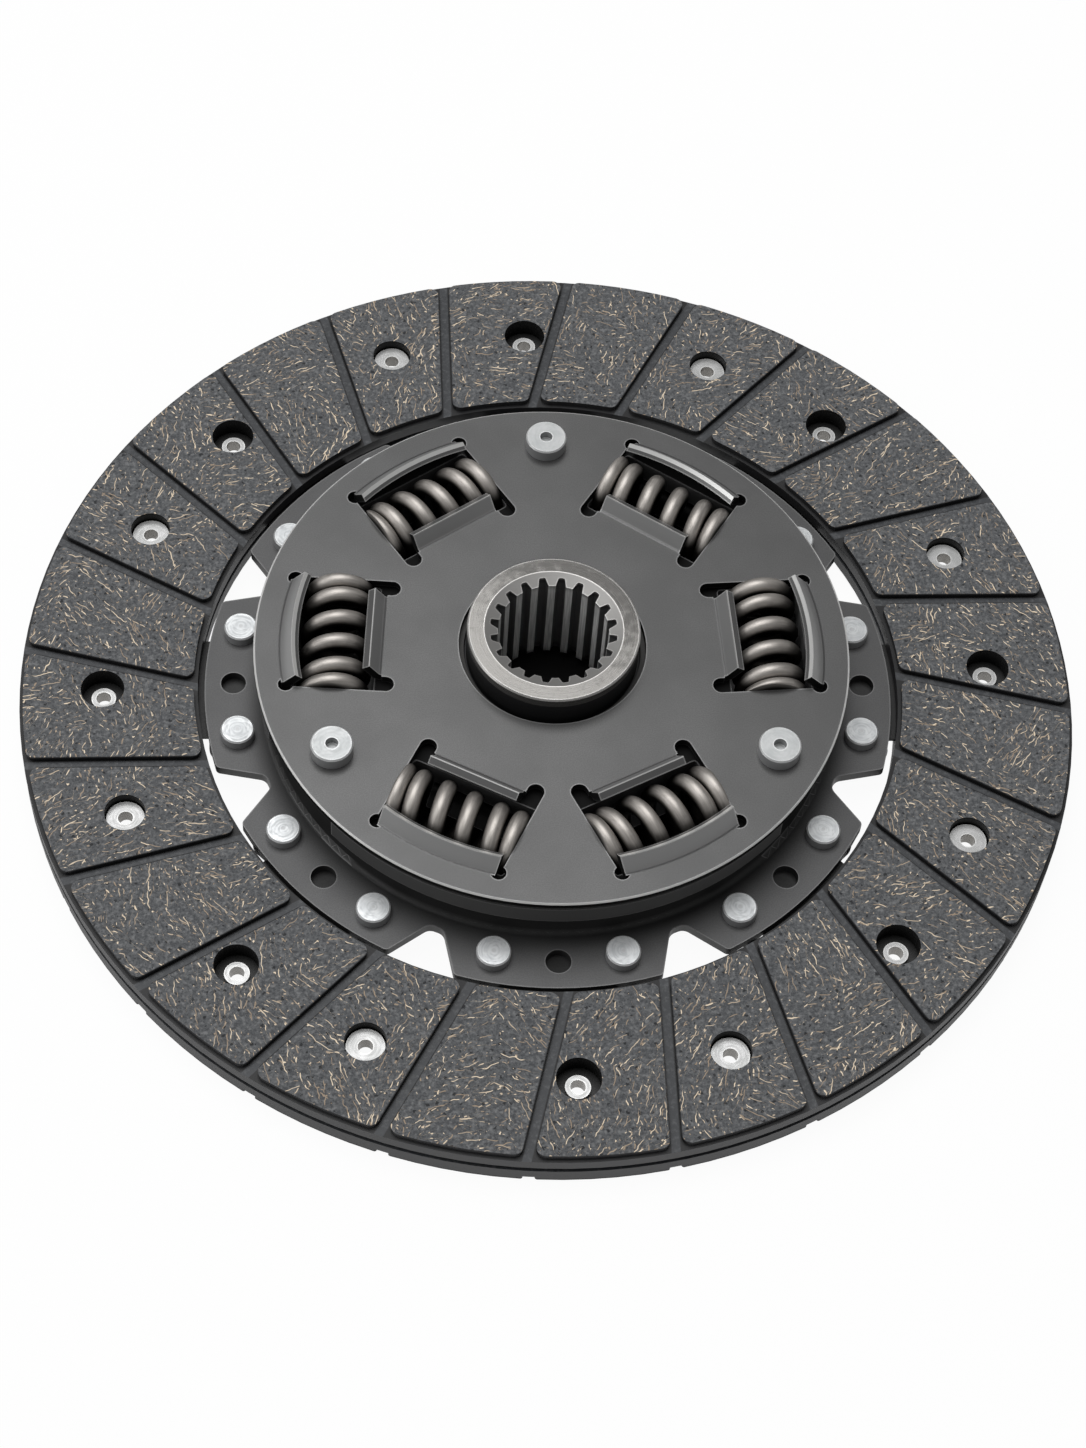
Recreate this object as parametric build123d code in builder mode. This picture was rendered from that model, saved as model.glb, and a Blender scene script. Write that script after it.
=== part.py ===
from build123d import *
from math import atan2, cos, degrees, pi, radians, sin, sqrt
import os

os.makedirs("parts", exist_ok=True)

# A 225 mm clutch disc. Two grooved friction linings are riveted to eight cushion segments, and these
# to the lobes of a dished carrier plate. A splined hub turns a few degrees between the carrier and
# the retainer plate, against six damper springs, until its flange meets the three stop pins.
# Millimetres. Z is the gearbox shaft's axis, and the disc lies on its lower lining at z = 0.

# Friction linings. Each is drawn up from the plane of its back face, and its bore follows the lobes.
outer_diameter = 225.0
lining_thickness = 4.0
lining_gap = 1.4
groove_count = 24
groove_width = 2.3
groove_depth = 1.3
groove_offset = 20.0
groove_turn = 0.9
block_inset = 0.8
block_corner = 2.0
lower_block_inset = 0.1
lower_block_corner = 0.5

# Lining rivets: a tube with a flat head, sunk in its own lining and curled over on the segment.
rivet_circle_shift = 1.25
own_rivet_turn = 20.8
far_rivet_turn = 1.9
rivet_seat_height = 0.8
rivet_head_diameter = 7.9
rivet_head_thickness = 0.9
rivet_shank_diameter = 4.1
rivet_bore_diameter = 3.1
rivet_curl_diameter = 5.2
rivet_curl_height = 0.9
rivet_hole_clearance = 0.2
counterbore_clearance = 0.3
curl_hole_diameter = 9.2

# Cushion segments: a foot under each lobe, and a cranked paddle between the linings.
lobe_count = 8
segment_thickness = 0.7
foot_length = 9.5
foot_width = 36.0
neck_width = 24.6
paddle_start = -8.0
paddle_sweep = 39.0
paddle_setback = 2.5
paddle_corner = 5.0
crank_start = 19.0
crank_end = 28.0

# Carrier plate
carrier_thickness = 2.3
lobe_gap = 1.4
lobe_corner = 1.2
notch_depth = 9.2
notch_half_width = 7.6
notch_root_half_width = 1.6
notch_root_radius = 2.2
dish_height = 4.6
dish_run = 2.6
dish_bend = 1.5
dish_window_rim = 2.4
dish_rivet_gap = 2.95
lobe_rivet_edge = 6.1
lobe_hole_diameter = 5.3
segment_rivet_spread = 11.25
segment_rivet_shank = 4.4
segment_rivet_head = 7.1
segment_rivet_head_height = 2.4
segment_rivet_foot_height = 1.2

# Hub, splined for the shaft
spline_teeth = 20
spline_minor_diameter = 23.4
spline_depth = 1.7
spline_gap_at_tip = 2.2
spline_gap_at_root = 1.3
spline_root_round = 0.45
hub_diameter = 36.4
hub_lead_in = 1.2
hub_edge = 0.35
hub_nose_length = 8.9
hub_tail_length = 12.4
flange_past_pins = 9.1
flange_thickness = 5.2

# Friction rings between the hub's flange and the two plates
friction_thickness = 1.0
friction_outer_diameter = 54.0
washer_hub_gap = 0.5
bush_wall = 1.45
bush_running_gap = 0.05
bush_plate_gap = 0.1
bush_overhang = 0.7
cone_spring_thickness = 0.8
cone_spring_height = 1.4
cone_spring_gap = 0.8

# Damper springs and the windows that hold them
spring_circle = 91.0
spring_diameter = 16.0
spring_wire = 3.6
spring_turns = 5.27
spring_first_closed_turns = 0.9
spring_last_closed_turns = 0.6
spring_first_crown = 0.05
spring_end_gap = 0.05
window_length = 28.0
window_turn = 33.5
window_side_gap = 0.5
window_corner = 0.7
slot_radius = 1.8
slot_reach = 0.9
inner_flap_room = 2.1
inner_flap_angle = 55.0
outer_flap_angle = 50.0
flap_height = 3.0
flap_bend_radius = 0.8
flap_end_gap = 0.8
relief_radius = 1.6

# Retainer plate and stop pins
retainer_past_flange = 0.5
retainer_thickness = 1.8
plate_edge = 0.3
retainer_flap_room = 4.1
carrier_flap_room = 2.5
stop_pin_count = 3
stop_pin_first = 90.0
stop_pin_dish_gap = 1.7
stop_pin_shoulder = 7.2
stop_pin_tenon = 5.6
stop_pin_head = 8.8
stop_pin_head_height = 3.0
stop_pin_foot = 7.0
stop_pin_foot_height = 2.2
stop_pin_dimple = 2.7
stop_pin_dimple_depth = 1.8
pin_edge = 0.3

# The hub's travel each way, and what it leaves free at the pins
hub_travel = 8.0
stop_clearance = 0.3
notch_floor_gap = 1.0

# Radii that follow, from the springs outwards: windows, dish, rivets, lobes, and the linings' 150 mm bore
spring_radius = spring_circle / 2
spring_inner = spring_radius - spring_diameter / 2
spring_outer = spring_radius + spring_diameter / 2
inner_bend = spring_inner - inner_flap_room
carrier_window_reach = spring_outer + carrier_flap_room
retainer_window_reach = spring_outer + retainer_flap_room
dish_top_radius = carrier_window_reach + dish_window_rim
dish_foot_radius = dish_top_radius + dish_run
foot_radius = dish_foot_radius + dish_rivet_gap + segment_rivet_head / 2
lobe_radius = foot_radius + lobe_rivet_edge
notch_root_radius_from_axis = lobe_radius - notch_depth
bore_radius = lobe_radius + lobe_gap
outer_radius = outer_diameter / 2
rivet_radius = (outer_radius + bore_radius) / 2 + rivet_circle_shift
pin_radius = dish_top_radius - stop_pin_dish_gap - stop_pin_foot / 2
flange_radius = pin_radius + flange_past_pins
retainer_radius = flange_radius + retainer_past_flange
hub_radius = hub_diameter / 2
spline_minor_radius = spline_minor_diameter / 2
spline_major_radius = spline_minor_radius + spline_depth
plate_hole_radius = hub_radius + bush_running_gap + bush_wall + bush_plate_gap
window_half = window_length / 2

# Angles and heights that follow
lining_pitch = 360 / lobe_count
carrier_rim_bottom = lining_thickness + segment_thickness
carrier_rim_top = carrier_rim_bottom + carrier_thickness
carrier_bottom = carrier_rim_bottom + dish_height
carrier_top = carrier_bottom + carrier_thickness
bush_flange_bottom = carrier_top + cone_spring_height
flange_bottom = bush_flange_bottom + friction_thickness
flange_top = flange_bottom + flange_thickness
retainer_bottom = flange_top + friction_thickness
retainer_top = retainer_bottom + retainer_thickness
hub_bottom = flange_bottom - hub_tail_length
hub_top = flange_top + hub_nose_length
spring_level = flange_bottom + flange_thickness / 2
pin_angles = [stop_pin_first + 360 / stop_pin_count * index for index in range(stop_pin_count)]
window_angles = sorted((pin + side * window_turn) % 360 for pin in pin_angles for side in (-1, 1))

# The planes of the linings' back faces. The lower lining is the upper one turned over.
upper_seat = Plane.XY.offset(lining_thickness + lining_gap)
flip_turn = radians(own_rivet_turn + far_rivet_turn)
lower_seat = Plane(
    origin=(0, 0, lining_thickness),
    x_dir=(cos(flip_turn), sin(flip_turn), 0),
    z_dir=(0, 0, -1),
)


def turned(angles):
    """Places that turn a piece about the shaft's axis."""
    return [Location((0, 0, 0), (0, 0, angle)) for angle in angles]


def make_lining(seat, rim_inset, corner):
    """A ring with raised blocks between slanted grooves, and holes for both sets of rivets."""
    base_thickness = lining_thickness - groove_depth
    groove_length = outer_radius - bore_radius + 2 * groove_offset
    with BuildPart() as lining:
        with BuildSketch(seat):
            Circle(outer_radius)
            Circle(bore_radius, mode=Mode.SUBTRACT)
        extrude(amount=base_thickness)
        with BuildSketch(seat.offset(base_thickness)) as blocks:
            Circle(outer_radius - rim_inset)
            Circle(bore_radius + block_inset, mode=Mode.SUBTRACT)
            with PolarLocations(0, groove_count, start_angle=groove_turn):
                with Locations(((outer_radius + bore_radius) / 2, groove_offset)):
                    Rectangle(groove_length, groove_width, mode=Mode.SUBTRACT)
            fillet(blocks.vertices(), corner)
        extrude(amount=groove_depth)
        with BuildSketch(seat):
            with PolarLocations(rivet_radius, lobe_count, start_angle=own_rivet_turn):
                Circle((rivet_shank_diameter + rivet_hole_clearance) / 2)
            with PolarLocations(rivet_radius, lobe_count, start_angle=far_rivet_turn):
                Circle(curl_hole_diameter / 2)
        extrude(amount=lining_thickness, mode=Mode.SUBTRACT)
        with BuildSketch(seat.offset(rivet_seat_height)):
            with PolarLocations(rivet_radius, lobe_count, start_angle=own_rivet_turn):
                Circle(rivet_head_diameter / 2 + counterbore_clearance)
        extrude(amount=lining_thickness, mode=Mode.SUBTRACT)
    return lining.part


def make_lining_rivets(seat):
    """Eight tubular rivets: head in the counterbore, shank through the segment, end curled over."""
    with BuildPart() as rivets:
        with BuildSketch(seat.offset(rivet_seat_height)):
            with PolarLocations(rivet_radius, lobe_count, start_angle=own_rivet_turn):
                Circle(rivet_head_diameter / 2)
        extrude(amount=rivet_head_thickness)
        with BuildSketch(seat.offset(-segment_thickness)):
            with PolarLocations(rivet_radius, lobe_count, start_angle=own_rivet_turn):
                Circle(rivet_shank_diameter / 2)
        extrude(amount=segment_thickness + rivet_seat_height)
        with BuildSketch(seat.offset(-segment_thickness)):
            with PolarLocations(rivet_radius, lobe_count, start_angle=own_rivet_turn):
                Circle(rivet_curl_diameter / 2)
        extrude(amount=-rivet_curl_height)
        with BuildSketch(seat.offset(-segment_thickness - rivet_curl_height)):
            with PolarLocations(rivet_radius, lobe_count, start_angle=own_rivet_turn):
                Circle(rivet_bore_diameter / 2)
        extrude(amount=lining_thickness + rivet_curl_height, mode=Mode.SUBTRACT)
    return rivets.part


def flap_section(bend, angle, thickness, way):
    """Points of a sheet that leaves the plate at its bend line and leans over the window."""
    a = radians(angle)
    inside = flap_bend_radius
    outside = flap_bend_radius + thickness
    leg = (flap_height - inside * (1 - cos(a))) / sin(a)
    rise = (way * sin(a / 2), 1 - cos(a / 2))
    top_start = (bend, 0)
    top_middle = (bend + inside * rise[0], inside * rise[1])
    top_end = (bend + way * inside * sin(a), inside * (1 - cos(a)))
    tip_top = (top_end[0] + way * leg * cos(a), top_end[1] + leg * sin(a))
    tip_bottom = (tip_top[0] + way * thickness * sin(a), tip_top[1] - thickness * cos(a))
    under_end = (bend + way * outside * sin(a), inside - outside * cos(a))
    under_middle = (bend + way * outside * sin(a / 2), inside - outside * cos(a / 2))
    under_start = (bend, -thickness)
    return top_start, top_middle, top_end, tip_top, tip_bottom, under_end, under_middle, under_start


def make_flap_face(section_plane, points):
    """The closed face through a flap section's points: two bends and three straight sides."""
    top_start, top_middle, top_end, tip_top, tip_bottom, under_end, under_middle, under_start = points
    with BuildSketch(section_plane) as section:
        with BuildLine():
            ThreePointArc(top_start, top_middle, top_end)
            Polyline(top_end, tip_top, tip_bottom, under_end)
            ThreePointArc(under_end, under_middle, under_start)
            Line(under_start, top_start)
        make_face()
    return section.sketch


def make_flaps(face, thickness, reach):
    """Both flaps of the window on the +X axis, bent out of a plate whose outer face is given."""
    section_plane = Plane(origin=face.origin, x_dir=face.x_dir, z_dir=-face.y_dir)
    slot_outer = window_half - 2 * slot_radius
    with BuildPart() as inner:
        add(make_flap_face(section_plane, flap_section(inner_bend, inner_flap_angle, thickness, 1)))
        extrude(amount=slot_outer - flap_end_gap / 2, dir=section_plane.z_dir, both=True)
    with BuildPart() as outer:
        add(make_flap_face(section_plane, flap_section(reach, outer_flap_angle, thickness, -1)))
        revolve(axis=Axis.Z)
        with Locations((spring_radius + reach / 2, 0, face.origin.Z)):
            Box(reach, window_length - 2 * flap_end_gap, 6 * flap_height, mode=Mode.INTERSECT)
    with BuildPart() as flaps:
        add(inner.part)
        add(outer.part)
    return flaps.part


def make_window_cut(face, thickness, reach):
    """The opening of the window on the +X axis, with its corner slots and relief holes."""
    slot_centre = window_half - slot_radius
    slot_end = inner_bend - slot_reach
    slot_length = slot_reach + slot_radius
    relief_radius_from_axis = reach - relief_radius / 2
    relief_y = window_half - relief_radius / 4
    relief_x = sqrt(relief_radius_from_axis**2 - relief_y**2)
    with BuildPart() as cut:
        with BuildSketch(face) as opening:
            Circle(reach)
            with Locations((inner_bend + reach, 0)):
                Rectangle(2 * reach, window_length, mode=Mode.INTERSECT)
            for side in (-1, 1):
                with Locations((slot_end + slot_length / 2, side * slot_centre)):
                    Rectangle(slot_length, 2 * slot_radius)
                with Locations((slot_end, side * slot_centre)):
                    Circle(slot_radius)
                with Locations((relief_x, side * relief_y)):
                    Circle(relief_radius)
        extrude(amount=-thickness)
    return cut.part


def make_coil():
    """The spring of the window on the +X axis: a wire along a helix whose ends are closed and flat."""
    length = window_length - 2 * spring_end_gap
    coil_radius = (spring_diameter - spring_wire) / 2
    closed_pitch = spring_wire * 1.02
    closed_turns = spring_first_closed_turns + spring_last_closed_turns
    open_pitch = (length - closed_turns * closed_pitch) / (spring_turns - closed_turns)
    steps_per_turn = 12
    steps = round(spring_turns * steps_per_turn)
    points = []
    for step in range(steps + 1):
        turn = spring_turns * step / steps
        start = min(turn, spring_first_closed_turns)
        end = max(turn - (spring_turns - spring_last_closed_turns), 0)
        along = (start + end) * closed_pitch + (turn - start - end) * open_pitch - length / 2
        from_crown = 2 * pi * (turn - spring_first_crown)
        across = spring_radius - coil_radius * sin(from_crown)
        points.append((across, along, spring_level + coil_radius * cos(from_crown)))
    with BuildPart() as coil:
        with BuildLine() as helix:
            Spline(*points)
        with BuildSketch(Plane(origin=helix.line @ 0, z_dir=helix.line % 0)):
            Circle(spring_wire / 2)
        sweep(is_frenet=True)
        with Locations((spring_radius, 0, spring_level)):
            Box(2 * spring_diameter, length, 2 * spring_diameter, mode=Mode.INTERSECT)
    return coil.part


with BuildPart() as upper_lining:
    add(make_lining(upper_seat, block_inset, block_corner))
upper_lining.part.label = "upper_lining"
export_step(upper_lining.part, "parts/upper_lining.step")

with BuildPart() as lower_lining:
    add(make_lining(lower_seat, lower_block_inset, lower_block_corner))
lower_lining.part.label = "lower_lining"
export_step(lower_lining.part, "parts/lower_lining.step")

with BuildPart() as upper_lining_rivets:
    add(make_lining_rivets(upper_seat))
upper_lining_rivets.part.label = "upper_lining_rivets"
export_step(upper_lining_rivets.part, "parts/upper_lining_rivets.step")

with BuildPart() as lower_lining_rivets:
    add(make_lining_rivets(lower_seat))
lower_lining_rivets.part.label = "lower_lining_rivets"
export_step(lower_lining_rivets.part, "parts/lower_lining_rivets.step")

# Cushion segments. The paddle is flat on the lower lining at its first rivet, and on the upper one
# at its second, so it springs the linings apart.
low = lining_thickness
high = lining_thickness + lining_gap - segment_thickness
paddle_outer = outer_radius - paddle_setback
paddle_inner = bore_radius + paddle_setback
wedge_side = 2 * outer_radius
segment_rivet_turns = (-segment_rivet_spread, segment_rivet_spread)
paddle_rivet_turns = (far_rivet_turn, own_rivet_turn)
for number in range(lobe_count):
    lobe_turn = number * lining_pitch
    lobe_plane = Plane.XY.offset(low).rotated((0, 0, lobe_turn))
    radial = Vector(cos(radians(lobe_turn)), sin(radians(lobe_turn)), 0)
    crank_plane = Plane(origin=(0, 0, 0), x_dir=(-radial.Y, radial.X, 0), z_dir=radial)
    with BuildPart() as segment:
        with BuildSketch(lobe_plane) as outline:
            Circle(paddle_outer)
            Circle(paddle_inner, mode=Mode.SUBTRACT)
            with BuildLine(mode=Mode.PRIVATE) as wedge_line:
                wedge_start = PolarLine((0, 0), wedge_side, paddle_start)
                wedge_end = PolarLine((0, 0), wedge_side, paddle_start + paddle_sweep)
                Line(wedge_start @ 1, wedge_end @ 1)
            add(make_face(wedge_line.edges(), mode=Mode.PRIVATE), mode=Mode.INTERSECT)
            fillet(outline.vertices(), paddle_corner)
            with Locations(((foot_radius + paddle_inner + paddle_corner) / 2, 0)):
                Rectangle(paddle_inner + paddle_corner - foot_radius, neck_width)
            with Locations((foot_radius, 0)):
                RectangleRounded(foot_length, foot_width, foot_length / 3)
        extrude(amount=lining_gap)
        with BuildSketch(crank_plane):
            Polygon(
                (-outer_radius, low),
                (crank_start, low),
                (crank_end, high),
                (outer_radius, high),
                (outer_radius, high + segment_thickness),
                (crank_end, high + segment_thickness),
                (crank_start, low + segment_thickness),
                (-outer_radius, low + segment_thickness),
                align=None,
            )
        extrude(amount=outer_radius, mode=Mode.INTERSECT)
        with BuildSketch(lobe_plane):
            with Locations(*[Location((foot_radius * cos(radians(t)), foot_radius * sin(radians(t))))
                             for t in segment_rivet_turns]):
                Circle(segment_rivet_shank / 2)
            with Locations(*[Location((rivet_radius * cos(radians(t)), rivet_radius * sin(radians(t))))
                             for t in paddle_rivet_turns]):
                Circle((rivet_shank_diameter + rivet_hole_clearance) / 2)
        extrude(amount=lining_gap, mode=Mode.SUBTRACT)
    name = f"cushion_segment_{number + 1}"
    segment.part.label = name
    export_step(segment.part, f"parts/{name}.step")

# The carrier plate: a dished disc with eight lobes, six windows, and holes for rivets and pins
carrier_face = Plane(origin=(0, 0, carrier_bottom), x_dir=(1, 0, 0), z_dir=(0, 0, -1))
carrier_window = make_window_cut(carrier_face, carrier_thickness, carrier_window_reach)
carrier_flaps = make_flaps(carrier_face, carrier_thickness, carrier_window_reach)
with BuildPart() as carrier_plate:
    with BuildSketch(Plane.XZ) as dish:
        with BuildLine():
            Polyline(
                (plate_hole_radius, carrier_bottom),
                (dish_top_radius - carrier_thickness / 2, carrier_bottom),
                (dish_foot_radius - carrier_thickness / 2, carrier_rim_bottom),
                (lobe_radius, carrier_rim_bottom),
                (lobe_radius, carrier_rim_top),
                (dish_foot_radius, carrier_rim_top),
                (dish_top_radius, carrier_top),
                (plate_hole_radius, carrier_top),
                close=True,
            )
        make_face()
        step_corners = dish.vertices().filter_by(
            lambda v: dish_top_radius - carrier_thickness < v.X < dish_foot_radius + carrier_thickness
        )
        fillet(step_corners, dish_bend)
    revolve(axis=Axis.Z)
    with BuildSketch(Plane.XY.offset(carrier_rim_bottom)) as notches:
        flare = (notch_half_width - notch_root_half_width) / notch_depth
        mouth = 2 * notch_depth
        with PolarLocations(0, lobe_count, start_angle=lining_pitch / 2):
            Polygon(
                (notch_root_radius_from_axis, -notch_root_half_width),
                (notch_root_radius_from_axis + mouth, -notch_root_half_width - flare * mouth),
                (notch_root_radius_from_axis + mouth, notch_root_half_width + flare * mouth),
                (notch_root_radius_from_axis, notch_root_half_width),
                align=None,
            )
        root_corners = notches.vertices().filter_by(
            lambda v: (v.X**2 + v.Y**2)**0.5 < lobe_radius
        )
        fillet(root_corners, notch_root_radius)
    extrude(amount=carrier_thickness, mode=Mode.SUBTRACT)
    lobe_corners = carrier_plate.edges().filter_by(Axis.Z).filter_by(
        lambda e: abs((e.center().X**2 + e.center().Y**2)**0.5 - lobe_radius) < lobe_corner
    )
    fillet(lobe_corners, lobe_corner)
    with BuildSketch(Plane.XY.offset(carrier_rim_bottom)):
        with PolarLocations(foot_radius, lobe_count):
            Circle(lobe_hole_diameter / 2)
        for rivet_turn in segment_rivet_turns:
            with PolarLocations(foot_radius, lobe_count, start_angle=rivet_turn):
                Circle(segment_rivet_shank / 2)
    extrude(amount=carrier_thickness, mode=Mode.SUBTRACT)
    with BuildSketch(Plane.XY.offset(carrier_bottom)):
        with PolarLocations(pin_radius, stop_pin_count, start_angle=stop_pin_first):
            Circle(stop_pin_tenon / 2)
    extrude(amount=carrier_thickness, mode=Mode.SUBTRACT)
    with Locations(*turned(window_angles)):
        add(carrier_window, mode=Mode.SUBTRACT)
    with Locations(*turned(window_angles)):
        add(carrier_flaps)
carrier_plate.part.label = "carrier_plate"
export_step(carrier_plate.part, "parts/carrier_plate.step")

# The retainer plate: flat, with the same windows bent the other way
retainer_face = Plane.XY.offset(retainer_top)
retainer_window = make_window_cut(retainer_face, retainer_thickness, retainer_window_reach)
retainer_flaps = make_flaps(retainer_face, retainer_thickness, retainer_window_reach)
with BuildPart() as retainer_plate:
    with BuildSketch(Plane.XY.offset(retainer_bottom)):
        Circle(retainer_radius)
        Circle(plate_hole_radius, mode=Mode.SUBTRACT)
    extrude(amount=retainer_thickness)
    chamfer(retainer_plate.edges().filter_by(GeomType.CIRCLE).group_by(SortBy.RADIUS)[-1], plate_edge)
    with BuildSketch(Plane.XY.offset(retainer_bottom)):
        with PolarLocations(pin_radius, stop_pin_count, start_angle=stop_pin_first):
            Circle(stop_pin_tenon / 2)
    extrude(amount=retainer_thickness, mode=Mode.SUBTRACT)
    with Locations(*turned(window_angles)):
        add(retainer_window, mode=Mode.SUBTRACT)
    with Locations(*turned(window_angles)):
        add(retainer_flaps)
retainer_plate.part.label = "retainer_plate"
export_step(retainer_plate.part, "parts/retainer_plate.step")

# The hub: a splined barrel and a flange with six spring windows and three stop notches
spring_reach = spring_diameter / 2 + window_side_gap
notch_half_angle = hub_travel + degrees(
    atan2(stop_pin_shoulder / 2 + stop_clearance, pin_radius)
)
notch_floor = pin_radius - stop_pin_shoulder / 2 - notch_floor_gap
notch_mouth = 2 * flange_radius
with BuildSketch() as spline_gap:
    Polygon(
        (spline_minor_radius - hub_lead_in, -spline_gap_at_tip / 2),
        (spline_minor_radius, -spline_gap_at_tip / 2),
        (spline_major_radius, -spline_gap_at_root / 2),
        (spline_major_radius, spline_gap_at_root / 2),
        (spline_minor_radius, spline_gap_at_tip / 2),
        (spline_minor_radius - hub_lead_in, spline_gap_at_tip / 2),
        align=None,
    )
    fillet(spline_gap.vertices().sort_by(Axis.X)[-2:], spline_root_round)
with BuildPart() as hub:
    with BuildSketch(Plane.XY.offset(hub_bottom)):
        Circle(hub_radius)
    extrude(amount=hub_top - hub_bottom)
    chamfer(hub.edges().filter_by(GeomType.CIRCLE), hub_edge)
    with BuildSketch(Plane.XY.offset(flange_bottom)):
        Circle(flange_radius)
    extrude(amount=flange_thickness)
    chamfer(hub.edges().filter_by(GeomType.CIRCLE).group_by(SortBy.RADIUS)[-1], plate_edge)
    with BuildSketch(Plane.XY.offset(flange_bottom)) as notches:
        with PolarLocations(0, stop_pin_count, start_angle=stop_pin_first):
            Polygon(
                (0, 0),
                (notch_mouth * cos(radians(notch_half_angle)), -notch_mouth * sin(radians(notch_half_angle))),
                (notch_mouth * cos(radians(notch_half_angle)), notch_mouth * sin(radians(notch_half_angle))),
                align=None,
            )
        Circle(notch_floor, mode=Mode.SUBTRACT)
    extrude(amount=flange_thickness, mode=Mode.SUBTRACT)
    with BuildSketch(Plane.XY.offset(flange_bottom)):
        with Locations(*turned(window_angles)):
            with Locations((spring_radius, 0)):
                RectangleRounded(2 * spring_reach, window_length, window_corner)
    extrude(amount=flange_thickness, mode=Mode.SUBTRACT)
    with BuildSketch(Plane.XY.offset(hub_bottom)):
        Circle(spline_minor_radius)
        with PolarLocations(0, spline_teeth, start_angle=180 / spline_teeth):
            add(spline_gap.sketch)
    extrude(amount=hub_top - hub_bottom, mode=Mode.SUBTRACT)
    lead_in_radius = spline_major_radius + hub_lead_in
    with BuildSketch(Plane.XZ):
        Polygon(
            (0, hub_top),
            (lead_in_radius, hub_top),
            (spline_minor_radius, hub_top - hub_lead_in),
            (0, hub_top - hub_lead_in),
            align=None,
        )
        Polygon(
            (0, hub_bottom),
            (lead_in_radius, hub_bottom),
            (spline_minor_radius, hub_bottom + hub_lead_in),
            (0, hub_bottom + hub_lead_in),
            align=None,
        )
    revolve(axis=Axis.Z, mode=Mode.SUBTRACT)
hub.part.label = "hub"
export_step(hub.part, "parts/hub.step")

# Friction rings: a washer above the flange, a flanged bush below it, and the cone spring that loads it
with BuildPart() as upper_friction_washer:
    with BuildSketch(Plane.XY.offset(flange_top)):
        Circle(friction_outer_diameter / 2)
        Circle(hub_radius + washer_hub_gap, mode=Mode.SUBTRACT)
    extrude(amount=friction_thickness)
upper_friction_washer.part.label = "upper_friction_washer"
export_step(upper_friction_washer.part, "parts/upper_friction_washer.step")

sleeve_outer = plate_hole_radius - bush_plate_gap
with BuildPart() as centring_bush:
    with BuildSketch(Plane.XY.offset(bush_flange_bottom)):
        Circle(friction_outer_diameter / 2)
    extrude(amount=friction_thickness)
    with BuildSketch(Plane.XY.offset(carrier_bottom - bush_overhang)):
        Circle(sleeve_outer)
    extrude(amount=bush_flange_bottom - carrier_bottom + bush_overhang)
    Hole(hub_radius + bush_running_gap)
centring_bush.part.label = "centring_bush"
export_step(centring_bush.part, "parts/centring_bush.step")

cone_inner = sleeve_outer + cone_spring_gap
with BuildPart() as cone_spring:
    with BuildSketch(Plane.XZ):
        Polygon(
            (cone_inner, bush_flange_bottom - cone_spring_thickness),
            (cone_inner, bush_flange_bottom),
            (friction_outer_diameter / 2, carrier_top + cone_spring_thickness),
            (friction_outer_diameter / 2, carrier_top),
            align=None,
        )
    revolve(axis=Axis.Z)
cone_spring.part.label = "cone_spring"
export_step(cone_spring.part, "parts/cone_spring.step")

# Damper springs, one in each window
coil = make_coil()
for number, window_angle in enumerate(window_angles):
    with BuildPart() as damper_spring:
        with Locations(*turned([window_angle])):
            add(coil)
    name = f"damper_spring_{number + 1}"
    damper_spring.part.label = name
    export_step(damper_spring.part, f"parts/{name}.step")

# Stop pins: a shoulder that spaces the plates, riveted over at both ends
for number, pin_angle in enumerate(pin_angles):
    pin_axis = Plane(
        origin=(pin_radius * cos(radians(pin_angle)), pin_radius * sin(radians(pin_angle)), 0)
    )
    with BuildPart() as stop_pin:
        with BuildSketch(pin_axis.offset(carrier_top)):
            Circle(stop_pin_shoulder / 2)
        extrude(amount=retainer_bottom - carrier_top)
        with BuildSketch(pin_axis.offset(carrier_bottom)):
            Circle(stop_pin_tenon / 2)
        extrude(amount=retainer_top - carrier_bottom)
        with BuildSketch(pin_axis.offset(retainer_top)):
            Circle(stop_pin_head / 2)
        extrude(amount=stop_pin_head_height)
        with BuildSketch(pin_axis.offset(carrier_bottom)):
            Circle(stop_pin_foot / 2)
        extrude(amount=-stop_pin_foot_height)
        end_edges = stop_pin.edges().filter_by(GeomType.CIRCLE).sort_by(Axis.Z)
        chamfer([end_edges[0], end_edges[-1]], pin_edge)
        with BuildSketch(pin_axis.offset(retainer_top + stop_pin_head_height)):
            Circle(stop_pin_dimple / 2)
        extrude(amount=-stop_pin_dimple_depth, mode=Mode.SUBTRACT)
    name = f"stop_pin_{number + 1}"
    stop_pin.part.label = name
    export_step(stop_pin.part, f"parts/{name}.step")

# Segment rivets, two to a lobe
with BuildPart() as segment_rivets:
    for rivet_turn in segment_rivet_turns:
        with BuildSketch(Plane.XY.offset(low)):
            with PolarLocations(foot_radius, lobe_count, start_angle=rivet_turn):
                Circle(segment_rivet_shank / 2)
        extrude(amount=carrier_rim_top - low)
        with BuildSketch(Plane.XY.offset(carrier_rim_top)):
            with PolarLocations(foot_radius, lobe_count, start_angle=rivet_turn):
                Circle(segment_rivet_head / 2)
        extrude(amount=segment_rivet_head_height)
        with BuildSketch(Plane.XY.offset(low)):
            with PolarLocations(foot_radius, lobe_count, start_angle=rivet_turn):
                Circle(segment_rivet_head / 2)
        extrude(amount=-segment_rivet_foot_height)
    rivet_rims = segment_rivets.edges().filter_by(GeomType.CIRCLE)
    chamfer(rivet_rims.group_by(Axis.Z)[-1], pin_edge)
segment_rivets.part.label = "segment_rivets"
export_step(segment_rivets.part, "parts/segment_rivets.step")
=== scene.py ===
import bpy
import math
import numpy as np
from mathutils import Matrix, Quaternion, Vector


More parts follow.
